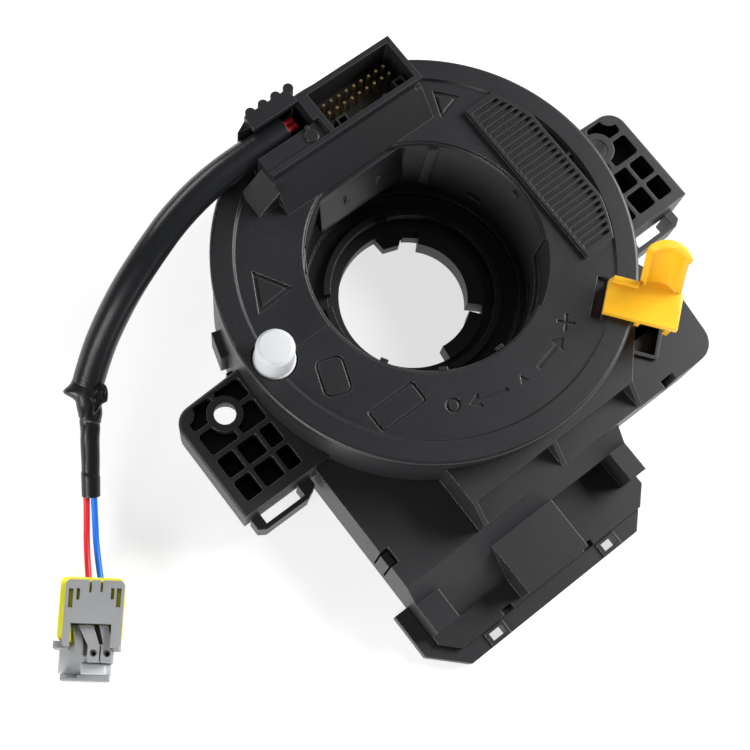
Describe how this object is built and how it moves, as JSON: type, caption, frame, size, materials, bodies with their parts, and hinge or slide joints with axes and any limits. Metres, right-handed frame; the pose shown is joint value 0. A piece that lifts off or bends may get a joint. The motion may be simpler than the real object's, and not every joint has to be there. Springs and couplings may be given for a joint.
{
  "type": "steering clock spring",
  "caption": "Black steering column clock spring: turning disc with a connector tower and an airbag lead on a fixed round case with screw ears and a side housing.",
  "frame": {"origin": "on the steering axis at the back face of the back cover", "axes": "+Z along the steering axis towards the wheel, +X towards the right ear, +Y towards the connector tower"},
  "size_m": [0.1988, 0.1352, 0.0541],
  "materials": {
    "black_pbt": "fine moulded texture",
    "black_rotor": "smooth moulded, slight sheen",
    "grey_cam": "moulded",
    "natural_gear": "natural acetal",
    "white_pom": "smooth white acetal",
    "amber_lock": "glossy amber",
    "yellow_shell": "smooth yellow",
    "grey_plug": "mid grey moulded",
    "sleeve_vinyl": "semi-gloss vinyl tube",
    "tape_cloth": "wound electrical tape",
    "red_wire": "wire insulation",
    "blue_wire": "wire insulation",
    "tin_pin": "tin plated",
    "gold_pin": "gold plated",
    "board_green": "solder mask",
    "liner_film": "low friction film",
    "cable_film": "polyester laminate",
    "magnet_dark": "sintered magnet"
  },
  "bodies": {
    "stator": {"stator_case": "black_pbt", "front_housing": "black_pbt", "ear_left": "black_pbt", "ear_right": "black_pbt", "back_cover": "black_pbt", "harness_socket": "black_pbt", "harness_pins": "tin_pin", "airbag_socket": "yellow_shell", "airbag_pins": "tin_pin", "circuit_board": "board_green", "chamber_liner": "liner_film"},
    "rotor": {"rotor_disc": "black_rotor", "lower_rotor": "black_rotor", "cancel_cam": "grey_cam", "ring_gear": "natural_gear", "connector_header": "black_rotor", "header_pins": "gold_pin", "terminal_block": "black_rotor", "cable_clamp": "black_rotor", "drive_peg": "white_pom", "flat_cable": "cable_film", "sleeve_tube": "sleeve_vinyl", "tape_wrap": "tape_cloth", "wire_red": "red_wire", "wire_blue": "blue_wire", "lead_tails": "red_wire", "plug_body": "yellow_shell", "plug_cover": "grey_plug", "plug_nose": "grey_plug", "plug_contacts": "tin_pin", "plug_lock": "white_pom", "plug_lip": "grey_plug"},
    "gear_a": {"sensor_gear_a": "white_pom", "magnet_a": "magnet_dark"},
    "gear_b": {"sensor_gear_b": "white_pom", "magnet_b": "magnet_dark"},
    "lock": {"lock_tab": "amber_lock"}
  },
  "joints": [
    {"name": "rotor_turn", "type": "hinge", "parent": "stator", "child": "rotor", "pos_m": [0, 0, 0], "axis": [0, 0, 1], "range_deg": [-900, 900], "deforming": ["flat_cable"]},
    {"name": "gear_a_spin", "type": "hinge", "parent": "stator", "child": "gear_a", "pos_m": [-0.01069, -0.04289, 0.005], "axis": [0, 0, 1], "range_deg": [-4050, 4050]},
    {"name": "gear_b_spin", "type": "hinge", "parent": "stator", "child": "gear_b", "pos_m": [0.01397, -0.04299, 0.005], "axis": [0, 0, 1], "range_deg": [-3600, 3600]},
    {"name": "lock_pull", "type": "slide", "parent": "rotor", "child": "lock", "axis": [0.6293, -0.7771, 0], "range_m": [0, 0.02]}
  ],
  "couplings": [
    {"joint": "gear_a_spin", "follows": "rotor_turn", "ratio": -4.5},
    {"joint": "gear_b_spin", "follows": "rotor_turn", "ratio": -4}
  ]
}
